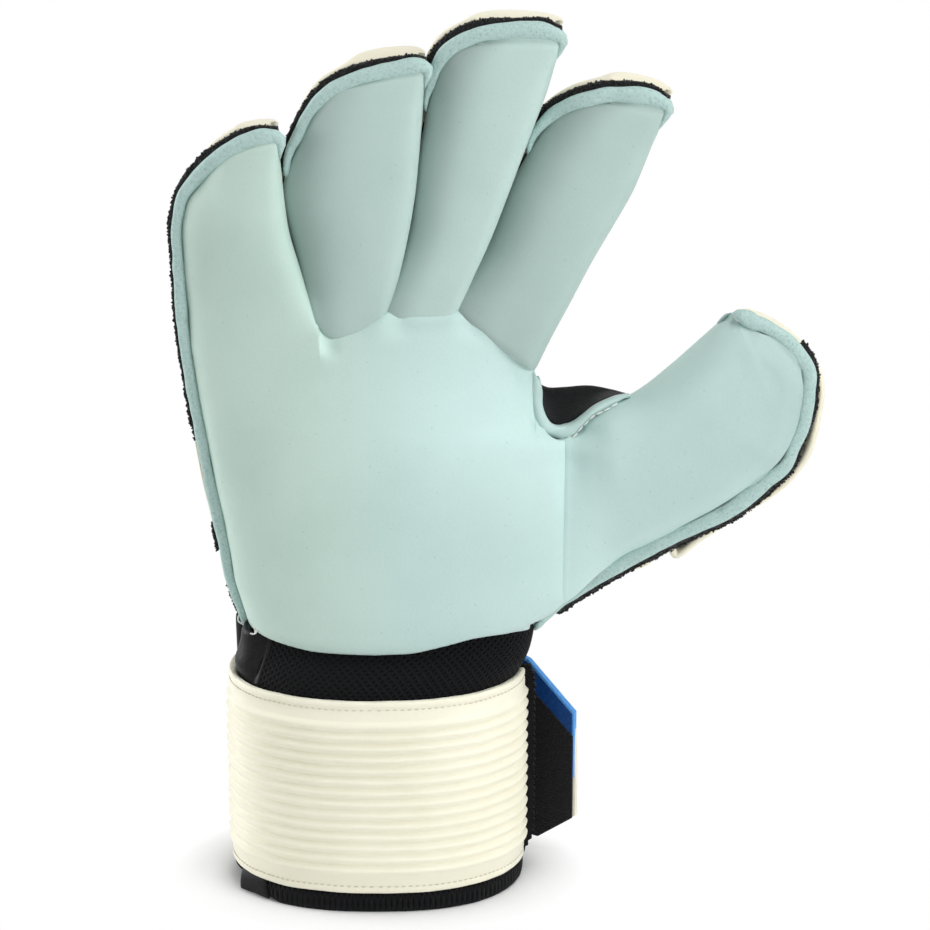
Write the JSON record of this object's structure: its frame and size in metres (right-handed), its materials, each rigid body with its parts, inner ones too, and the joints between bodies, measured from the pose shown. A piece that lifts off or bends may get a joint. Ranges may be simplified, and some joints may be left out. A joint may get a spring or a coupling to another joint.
{
  "type": "goalkeeper glove",
  "caption": "Right-hand goalkeeper glove with rolled latex fingers, pale blue palm, cream back, black seam mesh, knitted cuff and ribbed wrist strap with a hook-and-loop tab.",
  "frame": {"origin": "middle of the glove's box, on the surface that the cuff stands on", "axes": "+Z from the cuff up to the fingertips, -Y out of the palm, +X towards the thumb"},
  "size_m": [0.213, 0.0708, 0.2885],
  "materials": {
    "palm_latex": "matt pale blue latex foam",
    "back_latex": "matt cream latex foam",
    "black_mesh": "black raw-edged mesh",
    "black_knit": "black knitted elastic",
    "black_leatherette": "satin black leatherette",
    "strap_latex": "satin cream moulded latex",
    "hook_felt": "black hook-and-loop pile",
    "blue_trim": "satin blue rubber"
  },
  "bodies": {
    "hand": {"palm_panel": "palm_latex", "backhand_panel": "back_latex", "outer_seam_mesh": "black_mesh", "heel_seam_mesh": "black_mesh", "crotch_seam_mesh": "black_mesh", "thumb_gusset": "black_mesh", "wrist_cuff": "black_knit", "cuff_hem": "black_knit", "side_patch": "black_leatherette", "pull_tab": "black_leatherette", "strap_front": "strap_latex", "strap_binding": "black_knit", "loop_patch": "hook_felt"},
    "index_finger": {"index_roll": "palm_latex", "index_seam_mesh": "black_mesh", "index_back": "back_latex"},
    "middle_finger": {"middle_roll": "palm_latex", "middle_seam_mesh": "black_mesh", "middle_back": "back_latex"},
    "ring_finger": {"ring_roll": "palm_latex", "ring_seam_mesh": "black_mesh", "ring_back": "back_latex"},
    "little_finger": {"little_roll": "palm_latex", "little_seam_mesh": "black_mesh", "little_back": "back_latex"},
    "thumb": {"thumb_roll": "palm_latex", "thumb_seam_mesh": "black_mesh", "thumb_back": "back_latex"},
    "strap_end": {"strap_back": "strap_latex"},
    "closure_tab": {"tab_hook": "hook_felt", "tab_cover": "strap_latex", "tab_trim": "blue_trim"}
  },
  "joints": [
    {"name": "index_flex", "type": "hinge", "parent": "hand", "child": "index_finger", "pos_m": [-0.0003, -0.0153, 0.17229], "axis": [0.9397, 0, -0.342], "range_deg": [0, 60], "stiffness_Nm_per_rad": 0.03},
    {"name": "middle_flex", "type": "hinge", "parent": "hand", "child": "middle_finger", "pos_m": [-0.02755, -0.0153, 0.18088], "axis": [0.9659, 0, -0.2588], "range_deg": [0, 60], "stiffness_Nm_per_rad": 0.03},
    {"name": "ring_flex", "type": "hinge", "parent": "hand", "child": "ring_finger", "pos_m": [-0.05529, -0.0153, 0.18679], "axis": [0.9877, 0, -0.1564], "range_deg": [0, 60], "stiffness_Nm_per_rad": 0.03},
    {"name": "little_flex", "type": "hinge", "parent": "hand", "child": "little_finger", "pos_m": [-0.08426, -0.0153, 0.189], "axis": [1, 0, 0], "range_deg": [0, 60], "stiffness_Nm_per_rad": 0.025},
    {"name": "thumb_fold", "type": "hinge", "parent": "hand", "child": "thumb", "pos_m": [0.02024, -0.0153, 0.125], "axis": [0, 0, -1], "range_deg": [0, 70], "stiffness_Nm_per_rad": 0.04},
    {"name": "strap_unwrap", "type": "hinge", "parent": "hand", "child": "strap_end", "pos_m": [-0.08907, 0, 0.007], "axis": [0, 0, 1], "range_deg": [0, 110]},
    {"name": "tab_peel", "type": "hinge", "parent": "strap_end", "child": "closure_tab", "pos_m": [-0.00568, 0.0282, 0.007], "axis": [0, 0, 1], "range_deg": [0, 100]}
  ]
}
